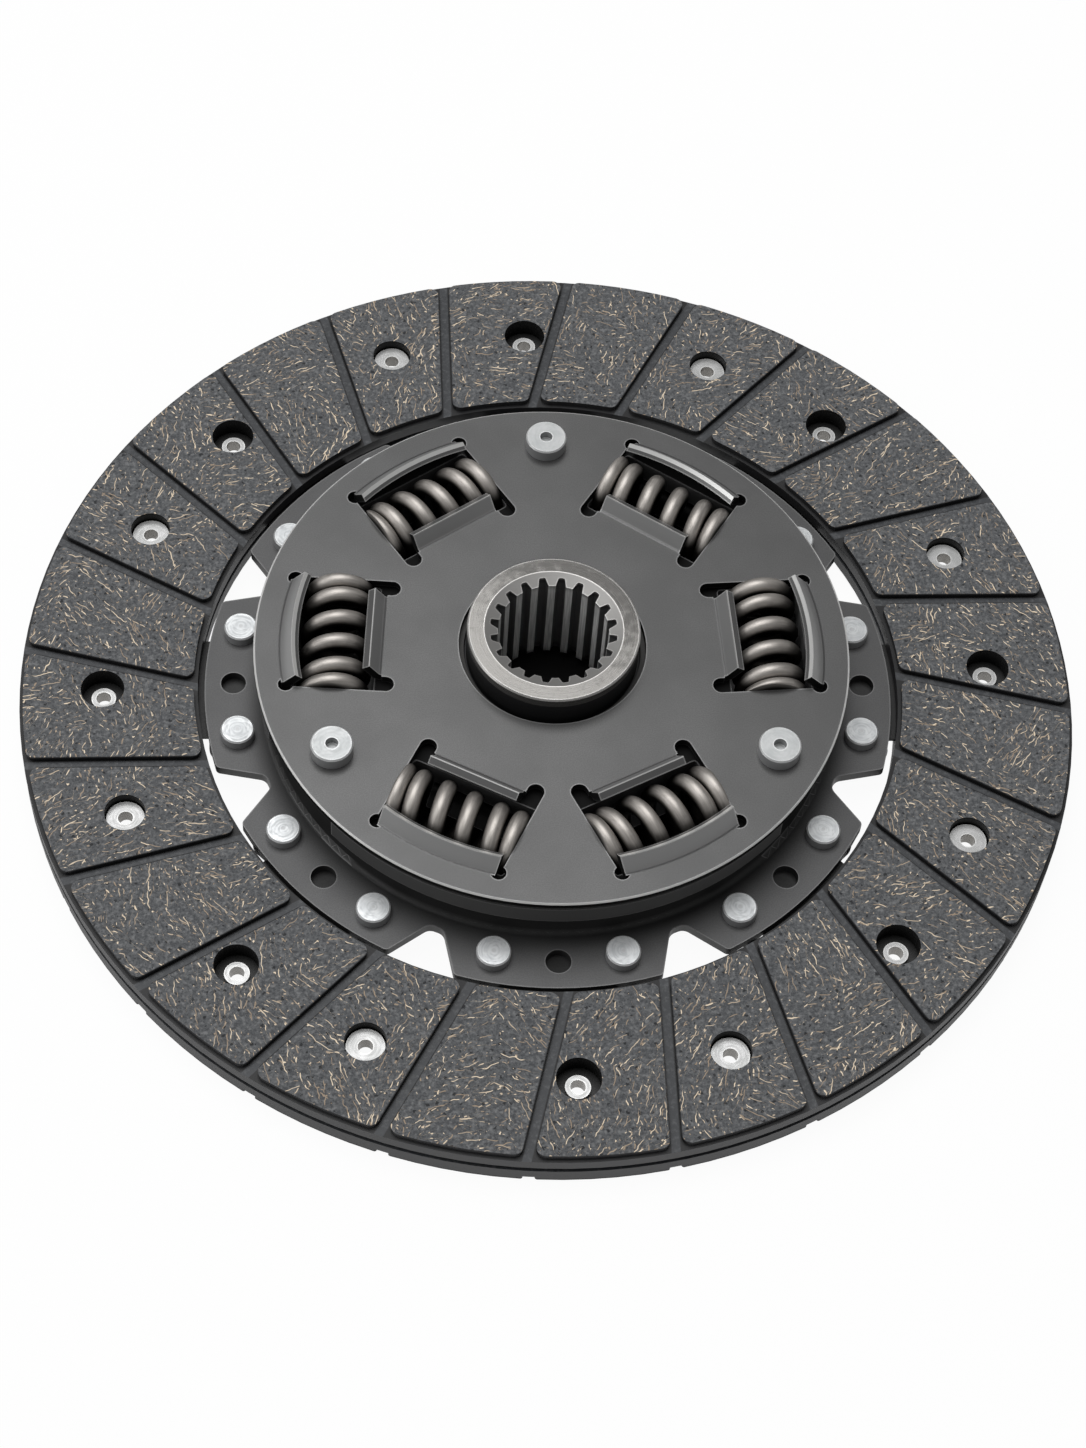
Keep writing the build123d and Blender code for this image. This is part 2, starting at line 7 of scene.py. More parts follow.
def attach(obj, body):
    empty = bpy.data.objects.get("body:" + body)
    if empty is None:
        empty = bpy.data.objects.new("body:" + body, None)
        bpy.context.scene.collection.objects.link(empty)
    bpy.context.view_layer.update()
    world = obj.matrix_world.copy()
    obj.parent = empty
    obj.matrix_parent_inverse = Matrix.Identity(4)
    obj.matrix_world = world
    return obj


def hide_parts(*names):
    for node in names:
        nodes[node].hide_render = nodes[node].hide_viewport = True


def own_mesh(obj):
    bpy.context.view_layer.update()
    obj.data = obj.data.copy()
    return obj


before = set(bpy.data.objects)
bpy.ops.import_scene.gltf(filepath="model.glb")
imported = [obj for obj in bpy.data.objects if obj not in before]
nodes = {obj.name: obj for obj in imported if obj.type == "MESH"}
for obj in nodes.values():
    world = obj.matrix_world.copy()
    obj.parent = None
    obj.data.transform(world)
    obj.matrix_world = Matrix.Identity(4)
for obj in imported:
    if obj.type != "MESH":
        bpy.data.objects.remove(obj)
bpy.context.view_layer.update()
print("frame loaded:", len(nodes), "nodes")

mm = 0.001
floatSocket = "NodeSocketFloat"
vectorSocket = "NodeSocketVector"

# Places of the disc that several finishes share, in millimetres and degrees

disc = {
    "frictionFace": 9.4,      # top of the upper lining's blocks
    "rivetCircle": 95.0,
    "sunkenRivetTurn": 1.9,   # rivets seen down the plain holes of the upper lining
    "flatRivetTurn": 20.8,    # rivets whose heads lie in the upper lining
    "lobes": 8.0,
    "grooves": 24.0,
    "grooveTurn": 0.9,
    "grooveOffset": 20.0,     # how far from the axis a groove's line passes
    "grooveHalf": 1.15,       # half a groove's width
    "springLevel": 16.6,      # height of the coils' own axes
    "windowTurns": (3.5, 56.5, 123.5, 176.5, 243.5, 296.5),
}

# How far a face looks up, as the height of its normal: walls lie below the first pair, level faces
# above the second

facing = {"wall": (0.3, 0.5), "level": (0.6, 0.9)}

# The light line of a broken edge: how widely the faces are rounded, and the agreement of the rounded
# normal with the face's own at which the line is strongest and gone

edgeLight = {"radius": 0.0006, "samples": 6, "strongest": 0.9, "gone": 0.985}


# Small helpers that put shader nodes together

def plug(tree, source, target):
    if isinstance(source, bpy.types.NodeSocket):
        tree.links.new(source, target)
    elif source is not None:
        target.default_value = source


def calc(tree, operation, *values):
    node = tree.nodes.new("ShaderNodeMath")
    node.operation = operation
    for index, value in enumerate(values):
        plug(tree, value, node.inputs[index])
    return node.outputs[0]


def times(tree, first, second):
    return calc(tree, "MULTIPLY", first, second)


def vectorCalc(tree, operation, *values, output="Vector"):
    node = tree.nodes.new("ShaderNodeVectorMath")
    node.operation = operation
    for index, value in enumerate(values):
        plug(tree, value, node.inputs[index])
    return node.outputs[output]


# A smooth step: 0 below the first value, 1 above the second
def fade(tree, value, low, high, toLow=0.0, toHigh=1.0):
    node = tree.nodes.new("ShaderNodeMapRange")
    node.interpolation_type = "SMOOTHSTEP"
    plug(tree, value, node.inputs["Value"])
    for name, number in (("From Min", low), ("From Max", high), ("To Min", toLow), ("To Max", toHigh)):
        plug(tree, number, node.inputs[name])
    return node.outputs["Result"]


# 1 where the value lies between two limits, with soft ends
def band(tree, value, low, high, soft):
    rise = fade(tree, value, low - soft, low + soft)
    fall = fade(tree, value, high - soft, high + soft, 1.0, 0.0)
    return times(tree, rise, fall)


def plugColour(tree, colour, target):
    plug(tree, colour if isinstance(colour, bpy.types.NodeSocket) else (*colour, 1.0), target)


# A Mix node has sockets for each kind of data: 0 is the factor, 2 and 3 take numbers, 6 and 7 colours

def mixColour(tree, mask, first, second):
    node = tree.nodes.new("ShaderNodeMix")
    node.data_type = "RGBA"
    plug(tree, mask, node.inputs[0])
    plugColour(tree, first, node.inputs[6])
    plugColour(tree, second, node.inputs[7])
    return node.outputs[2]


def mixValue(tree, mask, first, second):
    node = tree.nodes.new("ShaderNodeMix")
    node.data_type = "FLOAT"
    plug(tree, mask, node.inputs[0])
    plug(tree, first, node.inputs[2])
    plug(tree, second, node.inputs[3])
    return node.outputs[0]


def noise(tree, vector, scale, detail, roughness):
    node = tree.nodes.new("ShaderNodeTexNoise")
    plug(tree, vector, node.inputs["Vector"])
    plug(tree, scale, node.inputs["Scale"])
    node.inputs["Detail"].default_value = detail
    node.inputs["Roughness"].default_value = roughness
    return node.outputs["Fac"]


# The place pushed sideways by smooth noise, so that what is drawn on it runs a little crooked

def wobble(tree, place, scale, detail, amount):
    node = tree.nodes.new("ShaderNodeTexNoise")
    plug(tree, place, node.inputs["Vector"])
    node.inputs["Scale"].default_value = scale
    node.inputs["Detail"].default_value = detail
    shift = vectorCalc(tree, "SUBTRACT", node.outputs["Color"], (0.5, 0.5, 0.5))
    return vectorCalc(tree, "ADD", place, vectorCalc(tree, "MULTIPLY", shift, (amount, amount, 0.0)))


def cells(tree, vector, scale):
    node = tree.nodes.new("ShaderNodeTexVoronoi")
    node.voronoi_dimensions = "2D"
    plug(tree, vector, node.inputs["Vector"])
    plug(tree, scale, node.inputs["Scale"])
    return node


def combine(tree, x, y, z):
    node = tree.nodes.new("ShaderNodeCombineXYZ")
    for index, value in enumerate((x, y, z)):
        plug(tree, value, node.inputs[index])
    return node.outputs[0]


def separate(tree, vector):
    node = tree.nodes.new("ShaderNodeSeparateXYZ")
    plug(tree, vector, node.inputs[0])
    return node.outputs


def bump(tree, height, strength, distance, normal=None):
    node = tree.nodes.new("ShaderNodeBump")
    node.inputs["Strength"].default_value = strength
    node.inputs["Distance"].default_value = distance
    plug(tree, height, node.inputs["Height"])
    plug(tree, normal, node.inputs["Normal"])
    return node.outputs["Normal"]


def newGroup(name, inputs, outputs):
    tree = bpy.data.node_groups.new(name, "ShaderNodeTree")
    for label, kind, value in inputs:
        socket = tree.interface.new_socket(name=label, in_out="INPUT", socket_type=kind)
        if value is not None:
            socket.default_value = value
    for label, kind in outputs:
        tree.interface.new_socket(name=label, in_out="OUTPUT", socket_type=kind)
    return tree, tree.nodes.new("NodeGroupInput"), tree.nodes.new("NodeGroupOutput")


def useGroup(tree, group, **values):
    node = tree.nodes.new("ShaderNodeGroup")
    node.node_tree = group
    for label, value in values.items():
        plug(tree, value, node.inputs[label])
    return node


# Where a point lies on the disc: millimetres, radius, angle, height, and how far it faces up

def makePlaceGroup():
    tree, _, result = newGroup("discPlace", [], [
        ("Place", vectorSocket), ("Radius", floatSocket), ("Angle", floatSocket),
        ("Height", floatSocket), ("Up", floatSocket),
    ])
    where = tree.nodes.new("ShaderNodeTexCoord").outputs["Object"]
    place = vectorCalc(tree, "SCALE", where)
    place.node.inputs["Scale"].default_value = 1000.0
    x, y, z = separate(tree, place)
    flatPlace = combine(tree, x, y, 0.0)
    normal = tree.nodes.new("ShaderNodeNewGeometry").outputs["True Normal"]
    plug(tree, place, result.inputs["Place"])
    plug(tree, vectorCalc(tree, "LENGTH", flatPlace, output="Value"), result.inputs["Radius"])
    plug(tree, calc(tree, "ARCTAN2", y, x), result.inputs["Angle"])
    plug(tree, z, result.inputs["Height"])
    plug(tree, separate(tree, normal)[2], result.inputs["Up"])
    return tree


# Distance to the nearest of several equal holes on one circle: the angle is folded into one share of
# the circle, and the distance measured there

def makeHoleGroup():
    tree, given, result = newGroup("holeDistance", [
        ("Radius", floatSocket, 0.0), ("Angle", floatSocket, 0.0),
        ("Circle", floatSocket, 95.0), ("Turn", floatSocket, 0.0), ("Count", floatSocket, 8.0),
    ], [("Distance", floatSocket)])
    share = calc(tree, "DIVIDE", math.tau, given.outputs["Count"])
    half = times(tree, share, 0.5)
    turn = times(tree, given.outputs["Turn"], math.pi / 180)
    fromHole = calc(tree, "SUBTRACT", given.outputs["Angle"], turn)
    folded = calc(tree, "WRAP", fromHole, half, times(tree, half, -1.0))
    along = times(tree, given.outputs["Radius"], calc(tree, "COSINE", folded))
    across = times(tree, given.outputs["Radius"], calc(tree, "SINE", folded))
    offset = combine(tree, calc(tree, "SUBTRACT", along, given.outputs["Circle"]), across, 0.0)
    plug(tree, vectorCalc(tree, "LENGTH", offset, output="Value"), result.inputs["Distance"])
    return tree


# Fine uneven grain at two sizes, for colour, roughness and bump

def makeGrainGroup():
    tree, given, result = newGroup("fineGrain", [
        ("Place", vectorSocket, None), ("Coarse", floatSocket, 0.2), ("Fine", floatSocket, 3.0),
    ], [("Patch", floatSocket), ("Grain", floatSocket)])
    patch = noise(tree, given.outputs["Place"], given.outputs["Coarse"], 3.0, 0.55)
    grain = noise(tree, given.outputs["Place"], given.outputs["Fine"], 3.0, 0.65)
    plug(tree, patch, result.inputs["Patch"])
    plug(tree, grain, result.inputs["Grain"])
    return tree


# One layer of short fibres: the plane is cut into patches, each with a direction of its own. In a
# patch, long narrow cells hold one fibre each, drawn round the cell's point as a thin dash. It reaches
# 4 to 46 percent of the cell's length to each side, and narrows towards its ends.

def makeFibreGroup():
    tree, given, result = newGroup("fibreLayer", [
        ("Place", vectorSocket, None), ("Patch Size", floatSocket, 9.0),
        ("Length", floatSocket, 4.5), ("Spacing", floatSocket, 1.1),
        ("Width", floatSocket, 0.3), ("Share", floatSocket, 0.6), ("Seed", floatSocket, 0.0),
        ("Turn", floatSocket, 0.0),
    ], [("Mask", floatSocket), ("Shade", floatSocket)])
    x, y, _ = separate(tree, given.outputs["Place"])
    flatPlace = combine(tree, calc(tree, "ADD", x, given.outputs["Seed"]), y, 0.0)
    bent = wobble(tree, flatPlace, scale=0.5, detail=1.0, amount=1.25)
    patches = cells(tree, combine(tree, x, y, 0.0), calc(tree, "DIVIDE", 1.0, given.outputs["Patch Size"]))
    heading = times(tree, separate(tree, patches.outputs["Color"])[0], math.pi)
    heading = calc(tree, "ADD", heading, given.outputs["Turn"])
    turned = tree.nodes.new("ShaderNodeVectorRotate")
    turned.rotation_type = "Z_AXIS"
    plug(tree, bent, turned.inputs["Vector"])
    plug(tree, heading, turned.inputs["Angle"])
    along, across, _ = separate(tree, turned.outputs[0])
    stretched = combine(
        tree,
        calc(tree, "DIVIDE", along, given.outputs["Length"]),
        calc(tree, "DIVIDE", across, given.outputs["Spacing"]),
        0.0,
    )
    fibres = cells(tree, stretched, 1.0)
    offset = vectorCalc(tree, "SUBTRACT", stretched, fibres.outputs["Position"])
    dx, dy, _ = separate(tree, offset)
    red, green, blue = separate(tree, fibres.outputs["Color"])
    dx = calc(tree, "ABSOLUTE", times(tree, dx, given.outputs["Length"]))
    dy = calc(tree, "ABSOLUTE", times(tree, dy, given.outputs["Spacing"]))
    reach = times(tree, given.outputs["Length"], fade(tree, red, 0.0, 1.0, 0.04, 0.46))
    ends = calc(tree, "SUBTRACT", 1.0, calc(tree, "SMOOTH_MIN", calc(tree, "DIVIDE", dx, reach), 1.0, 0.1))
    halfWidth = times(tree, given.outputs["Width"], 0.5)
    halfWidth = times(tree, halfWidth, fade(tree, ends, 0.0, 0.35))
    thin = calc(tree, "DIVIDE", dy, calc(tree, "MAXIMUM", halfWidth, 0.01))
    mask = fade(tree, thin, 0.6, 1.25, 1.0, 0.0)
    chosen = calc(tree, "LESS_THAN", green, given.outputs["Share"])
    plug(tree, times(tree, mask, chosen), result.inputs["Mask"])
    plug(tree, blue, result.inputs["Shade"])
    return tree


# Small round specks: one for each chosen cell

def makeSpeckGroup():
    tree, given, result = newGroup("speckLayer", [
        ("Place", vectorSocket, None), ("Spacing", floatSocket, 1.4),
        ("Size", floatSocket, 0.3), ("Share", floatSocket, 0.4), ("Seed", floatSocket, 0.0),
    ], [("Mask", floatSocket), ("Shade", floatSocket)])
    x, y, _ = separate(tree, given.outputs["Place"])
    flatPlace = combine(tree, calc(tree, "ADD", x, given.outputs["Seed"]), y, 0.0)
    bent = wobble(tree, flatPlace, scale=1.7, detail=2.0, amount=1.1)
    specks = cells(tree, bent, calc(tree, "DIVIDE", 1.0, given.outputs["Spacing"]))
    distance = times(tree, specks.outputs["Distance"], given.outputs["Spacing"])
    red, green, blue = separate(tree, specks.outputs["Color"])
    size = times(tree, given.outputs["Size"], fade(tree, red, 0.0, 1.0, 0.45, 1.0))
    mask = fade(tree, calc(tree, "DIVIDE", distance, size), 0.35, 0.62, 1.0, 0.0)
    chosen = calc(tree, "LESS_THAN", green, given.outputs["Share"])
    plug(tree, times(tree, mask, chosen), result.inputs["Mask"])
    plug(tree, blue, result.inputs["Shade"])
    return tree


# How far a point lies from the centre line of the nearest groove of the upper lining. Each groove is a
# straight line that passes the axis at a fixed distance, so its angle leans with the radius.

def makeGrooveGroup():
    tree, given, result = newGroup("grooveDistance", [
        ("Radius", floatSocket, 0.0), ("Angle", floatSocket, 0.0), ("Count", floatSocket, 24.0),
        ("Turn", floatSocket, 0.0), ("Offset", floatSocket, 20.0),
    ], [("Distance", floatSocket)])
    half = calc(tree, "DIVIDE", math.pi, given.outputs["Count"])
    reached = calc(tree, "MAXIMUM", given.outputs["Radius"], given.outputs["Offset"])
    lean = calc(tree, "ARCSINE", calc(tree, "DIVIDE", given.outputs["Offset"], reached))
    turn = times(tree, given.outputs["Turn"], math.pi / 180)
    fromGroove = calc(tree, "SUBTRACT", calc(tree, "SUBTRACT", given.outputs["Angle"], turn), lean)
    folded = calc(tree, "WRAP", fromGroove, half, times(tree, half, -1.0))
    across = times(tree, given.outputs["Radius"], calc(tree, "SINE", calc(tree, "ADD", folded, lean)))
    plug(tree, calc(tree, "ABSOLUTE", calc(tree, "SUBTRACT", across, given.outputs["Offset"])),
         result.inputs["Distance"])
    return tree


# The thin light line that a broken edge shows: 1 where the normal, rounded over the nearby faces, turns
# away from the face's own

def makeGlintGroup():
    tree, _, result = newGroup("edgeGlint", [], [("Mask", floatSocket)])
    rounded = tree.nodes.new("ShaderNodeBevel")
    rounded.samples = edgeLight["samples"]
    rounded.inputs["Radius"].default_value = edgeLight["radius"]
    own = tree.nodes.new("ShaderNodeNewGeometry").outputs["True Normal"]
    agreement = vectorCalc(tree, "DOT_PRODUCT", rounded.outputs[0], own, output="Value")
    plug(tree, fade(tree, agreement, edgeLight["strongest"], edgeLight["gone"], 1.0, 0.0),
         result.inputs["Mask"])
    return tree


placeGroup = makePlaceGroup()
holeGroup = makeHoleGroup()
grooveGroup = makeGrooveGroup()
grainGroup = makeGrainGroup()
glintGroup = makeGlintGroup()
fibreGroup = makeFibreGroup()
speckGroup = makeSpeckGroup()


def newMaterial(name):
    material = bpy.data.materials.new(name)
    material.use_nodes = True
    tree = material.node_tree
    surface = next(n for n in tree.nodes if n.type == "BSDF_PRINCIPLED")
    place = useGroup(tree, placeGroup)
    return material, tree, surface, place.outputs


def finishSurface(tree, surface, colour, roughness, metallic, normal):
    plugColour(tree, colour, surface.inputs["Base Color"])
    plug(tree, roughness, surface.inputs["Roughness"])
    plug(tree, metallic, surface.inputs["Metallic"])
    plug(tree, normal, surface.inputs["Normal"])


# Friction linings: slate grey moulded material with tan fibres, dots and dark pits on the blocks'
# faces, plain dark grey in the grooves. Painted shade: black down the rivet holes, near black groove
# walls and lines along the grooves' edges, and dark outer and bore walls

liningLook = {
    "base": (0.108, 0.112, 0.117),
    "baseDark": (0.055, 0.058, 0.063),
    "baseLight": (0.185, 0.188, 0.192),
    "groove": (0.045, 0.048, 0.053),
    # near black painted shade on the grooves' walls and in lines along their edges
    "wall": (0.01, 0.01, 0.011),
    "fibreDull": (0.33, 0.25, 0.175),
    "fibreBright": (0.88, 0.73, 0.54),
    "pit": (0.012, 0.013, 0.015),
    # painted shade down the rivet holes
    "holeShade": (0.003, 0.003, 0.003),
    # painted shade on the outer and bore walls
    "rim": (0.04, 0.04, 0.042),
    "rimRadii": (110.9, 111.2),       # where the outer wall begins
    "boreRadii": (76.4, 76.6),        # where the bore's wall ends
    "faceDepth": (0.25, 0.45),        # below the face by less than this is still the face
    "footRoom": (0.4, 0.1),           # the painted shade line at a groove's foot, inwards from its edge
    "brinkRoom": (0.08, 0.3),         # the painted shade line on the block, outwards from the groove's edge
    "holeRadii": (4.75, 4.95),
    "holeDepth": (0.3, 1.2),
    "grainLimits": (0.36, 0.6),
    "lightSmudge": (0.46, 0.72),
    "darkSmudge": (0.3, 0.46),
    "grooveSmudge": (0.45, 0.8),
    "fibreShades": (0.25, 0.95),
    "grooveRoughness": 0.5,
    "faceRoughness": 0.78,
    "fibreGloss": 0.25,
    "specular": 0.35,
    "metallic": 0.0,
}

# The fibres in three lengths, each layer with its own turn and place
fibreLayers = (
    dict(Length=5.8, Spacing=0.95, Width=0.19, Share=0.29, Seed=0.0, Turn=0.0),
    dict(Length=3.4, Spacing=0.9, Width=0.19, Share=0.25, Seed=137.0, Turn=0.3),
    dict(Length=1.6, Spacing=0.95, Width=0.24, Share=0.2, Seed=311.0, Turn=-0.45),
)
fibrePatch = 13.0
dotLayer = dict(Spacing=1.7, Size=0.42, Share=0.45, Seed=53.0)
pitLayer = dict(Spacing=1.9, Size=0.7, Share=0.42, Seed=211.0)


def makeLiningMaterial():
    look = liningLook
    material, tree, surface, place = newMaterial("liningMaterial")
    where, radius, angle, height, up = (place[n] for n in ("Place", "Radius", "Angle", "Height", "Up"))
    grain = useGroup(tree, grainGroup, Place=where, Coarse=0.22, Fine=2.6).outputs
    smudge = noise(tree, where, 1.15, 4.0, 0.62)
    colour = mixColour(tree, fade(tree, grain["Grain"], *look["grainLimits"]), look["baseDark"],
                       look["base"])
    colour = mixColour(tree, fade(tree, smudge, *look["lightSmudge"]), colour, look["baseLight"])
    colour = mixColour(tree, fade(tree, smudge, *look["darkSmudge"], 0.6, 0.0), colour, look["baseDark"])
    depth = calc(tree, "MINIMUM", calc(tree, "ABSOLUTE", height),
                 calc(tree, "ABSOLUTE", calc(tree, "SUBTRACT", height, disc["frictionFace"])))
    onFace = fade(tree, depth, *look["faceDepth"], 1.0, 0.0)
    level = fade(tree, calc(tree, "ABSOLUTE", up), *facing["level"])
    layers = [useGroup(tree, fibreGroup, Place=where, **{"Patch Size": fibrePatch}, **layer).outputs
              for layer in fibreLayers]
    fibreMask, fibreShade = layers[0]["Mask"], layers[0]["Shade"]
    for fibres in layers[1:]:
        fibreMask = calc(tree, "MAXIMUM", fibreMask, fibres["Mask"])
        fibreShade = mixValue(tree, fibres["Mask"], fibreShade, fibres["Shade"])
    dots = useGroup(tree, speckGroup, Place=where, **dotLayer).outputs
    pits = useGroup(tree, speckGroup, Place=where, **pitLayer).outputs
    pitMask = times(tree, pits["Mask"], onFace)
    colour = mixColour(tree, times(tree, pitMask, 0.85), colour, look["pit"])
    fibreMask = calc(tree, "MAXIMUM", fibreMask, dots["Mask"])
    fibreMask = times(tree, times(tree, fibreMask, onFace), level)
    fibreColour = mixColour(tree, fade(tree, fibreShade, *look["fibreShades"]), look["fibreDull"],
                            look["fibreBright"])
    colour = mixColour(tree, fibreMask, colour, fibreColour)
    grooveColour = mixColour(tree, fade(tree, smudge, *look["grooveSmudge"]), look["groove"], look["base"])
    # the grooves' walls are painted near black as painted shade
    grooveColour = mixColour(tree, level, look["wall"], grooveColour)
    fromGroove = useGroup(tree, grooveGroup, Radius=radius, Angle=angle, Count=disc["grooves"],
                          Turn=disc["grooveTurn"], Offset=disc["grooveOffset"]).outputs["Distance"]
    upper = calc(tree, "GREATER_THAN", height, disc["frictionFace"] / 2)
    # painted shade lines at the groove's foot and on the block's brink beside it
    footShade = fade(tree, fromGroove, *(disc["grooveHalf"] - room for room in look["footRoom"]))
    grooveColour = mixColour(tree, times(tree, footShade, upper), grooveColour, look["wall"])
    colour = mixColour(tree, onFace, grooveColour, colour)
    brink = fade(tree, fromGroove, *(disc["grooveHalf"] + room for room in look["brinkRoom"]), 0.85, 0.0)
    brink = times(tree, times(tree, brink, upper), onFace)
    colour = mixColour(tree, brink, colour, look["wall"])
    # the outer and bore walls are painted dark as painted shade
    upright = calc(tree, "SUBTRACT", 1.0, level)
    rim = calc(tree, "MAXIMUM", fade(tree, radius, *look["rimRadii"]),
               fade(tree, radius, *look["boreRadii"], 1.0, 0.0))
    colour = mixColour(tree, times(tree, upright, rim), colour, look["rim"])
    # the rivet holes are painted black as painted shade
    deep = calc(tree, "MAXIMUM", fade(tree, depth, *look["holeDepth"]), upright)
    for turn in (disc["sunkenRivetTurn"], disc["flatRivetTurn"]):
        near = useGroup(tree, holeGroup, Radius=radius, Angle=angle, Circle=disc["rivetCircle"], Turn=turn,
                        Count=disc["lobes"]).outputs["Distance"]
        inside = fade(tree, near, *look["holeRadii"], 1.0, 0.0)
        colour = mixColour(tree, times(tree, inside, deep), colour, look["holeShade"])
    heightField = calc(tree, "ADD", times(tree, grain["Grain"], 0.5), times(tree, fibreMask, 0.35))
    heightField = calc(tree, "SUBTRACT", heightField, pitMask)
    roughness = mixValue(tree, onFace, look["grooveRoughness"], look["faceRoughness"])
    roughness = calc(tree, "SUBTRACT", roughness, times(tree, fibreMask, look["fibreGloss"]))
    normal = bump(tree, heightField, 0.35, 0.00012)
    finishSurface(tree, surface, colour, roughness, look["metallic"], normal)
    surface.inputs["Specular IOR Level"].default_value = look["specular"]
    return material


# Rolled and pressed steel plate: satin grey, a little mottled. Its walls take the look's edge colour, a
# painted shade on the retainer and carrier. A look may add a painted shade towards the axis, darker walls
# inside the rim as painted shade, painted highlight lines on edges, and flaps painted paler as painted
# light, whose tips, like the plate's outer rim, are outlined with a painted highlight.

def makePlateMaterial(name, look):
    material, tree, surface, place = newMaterial(name)
    where, radius, height, up = (place[n] for n in ("Place", "Radius", "Height", "Up"))
    grain = useGroup(tree, grainGroup, Place=where, Coarse=0.06, Fine=4.0).outputs
    colour = mixColour(tree, fade(tree, grain["Patch"], 0.3, 0.7), look["base"], look["baseLight"])
    colour = mixColour(tree, fade(tree, grain["Grain"], 0.35, 0.65, 0.0, 0.5), colour, look["baseDark"])
    # a painted shade towards the axis
    if "shade" in look:
        colour = mixColour(tree, fade(tree, radius, *look["shadeRadii"]), look["shade"], colour)
    # walls take the look's edge colour, inside the rim its wall colour if it has one; on the retainer and
    # carrier these are painted shade
    upright = fade(tree, calc(tree, "ABSOLUTE", up), *facing["wall"], 1.0, 0.0)
    wall = look["edge"]
    if "wall" in look:
        onRim = calc(tree, "GREATER_THAN", radius, look["edgeFrom"])
        wall = mixColour(tree, onRim, look["wall"], look["edge"])
    colour = mixColour(tree, upright, colour, wall)
    # painted highlight lines along the edges
    if "glint" in look:
        glint = useGroup(tree, glintGroup).outputs["Mask"]
        glint = times(tree, glint, fade(tree, up, -0.1, 0.2))
        colour = mixColour(tree, times(tree, glint, 0.8), colour, look["glint"])
    if "rim" in look:
        # the flaps' faces are painted paler as painted light, with painted highlight lines at their edges
        onFlap = calc(tree, "LESS_THAN", radius, look["edgeFrom"])
        leaning = times(tree, fade(tree, up, *look["flapUp"]), fade(tree, up, *look["bendUp"], 1.0, 0.0))
        flapColour = mixColour(tree, glint, look["paintedFlapLight"], look["rim"])
        colour = mixColour(tree, times(tree, leaning, onFlap), colour, flapColour)
        onTip = times(tree, calc(tree, "GREATER_THAN", height, look["tipFrom"]),
                      band(tree, up, *look["tipUp"], 0.015))
        tipColour = mixColour(tree, times(tree, glint, 0.5), look["tipFace"], look["rim"])
        colour = mixColour(tree, onTip, colour, tipColour)
        # a painted highlight on the tips' top edge and round the plate's outer rim
        onOuterFlap = calc(tree, "GREATER_THAN", radius, look["flapMiddle"])
        tipEdge = mixValue(tree, onOuterFlap, look["innerTipEdge"], look["outerTipEdge"])
        brink = calc(tree, "GREATER_THAN", height, tipEdge)
        outlineHighlight = times(tree, fade(tree, radius, *look["outlineRadii"]),
                        calc(tree, "GREATER_THAN", up, 0.5))
        rim = calc(tree, "MAXIMUM", times(tree, onTip, brink), outlineHighlight)
        colour = mixColour(tree, rim, colour, look["rim"])
    roughness = fade(tree, grain["Grain"], 0.2, 0.8, look["roughness"] - 0.06, look["roughness"] + 0.06)
    if "wall" in look:
        roughness = mixValue(tree, upright, roughness, 0.9)
    normal = bump(tree, grain["Grain"], 0.12, 0.00004)
    finishSurface(tree, surface, colour, roughness, look["metallic"], normal)
    return material


retainerLook = {
    "base": (0.084, 0.084, 0.084), "baseLight": (0.1, 0.1, 0.1), "baseDark": (0.055, 0.055, 0.055),
    # edge and wall: near black painted shade on the retainer's walls
    "edge": (0.002, 0.002, 0.002), "wall": (0.004, 0.004, 0.004), "edgeFrom": 62.2,
    "roughness": 0.38, "metallic": 0.6, "glint": (0.25, 0.25, 0.25),
    # rim: painted highlight on the flaps' tips and round the outer rim
    "rim": (0.7, 0.7, 0.69), "outlineRadii": (62.4, 62.55),
    # the flaps' faces are painted paler as painted light
    "paintedFlapLight": (0.33, 0.33, 0.33), "flapUp": (0.4, 0.5), "bendUp": (0.66, 0.99), "flapMiddle": 45.5,
    "tipFace": (0.13, 0.13, 0.13), "tipUp": (0.71, 0.88), "tipFrom": 23.6,
    "innerTipEdge": 24.85, "outerTipEdge": 24.42,
}
carrierLook = {
    "base": (0.082, 0.082, 0.083), "baseLight": (0.098, 0.098, 0.099), "baseDark": (0.055, 0.055, 0.056),
    # edge: painted shade on the carrier's walls; shade: painted shade towards the axis
    "edge": (0.05, 0.05, 0.05), "roughness": 0.48, "metallic": 0.5, "glint": (0.2, 0.2, 0.2),
    "shade": (0.025, 0.025, 0.025), "shadeRadii": (59.5, 66.0),
}
segmentLook = {
    "base": (0.012, 0.012, 0.012), "baseLight": (0.02, 0.02, 0.02), "baseDark": (0.008, 0.008, 0.008),
    "edge": (0.03, 0.03, 0.03), "roughness": 0.5, "metallic": 0.3,
}
ringLook = {
    "base": (0.03, 0.028, 0.026), "baseLight": (0.045, 0.042, 0.04), "baseDark": (0.02, 0.02, 0.02),
    "edge": (0.03, 0.03, 0.03), "roughness": 0.6, "metallic": 0.0,
}


# Zinc-plated rivets and pins: silver white, with a soft swirl on the heads' flat tops. Where a look
# gives it a depth, a darker spot at a head's centre is painted shade for a small dimple; painted
# highlight lines run along the edges.

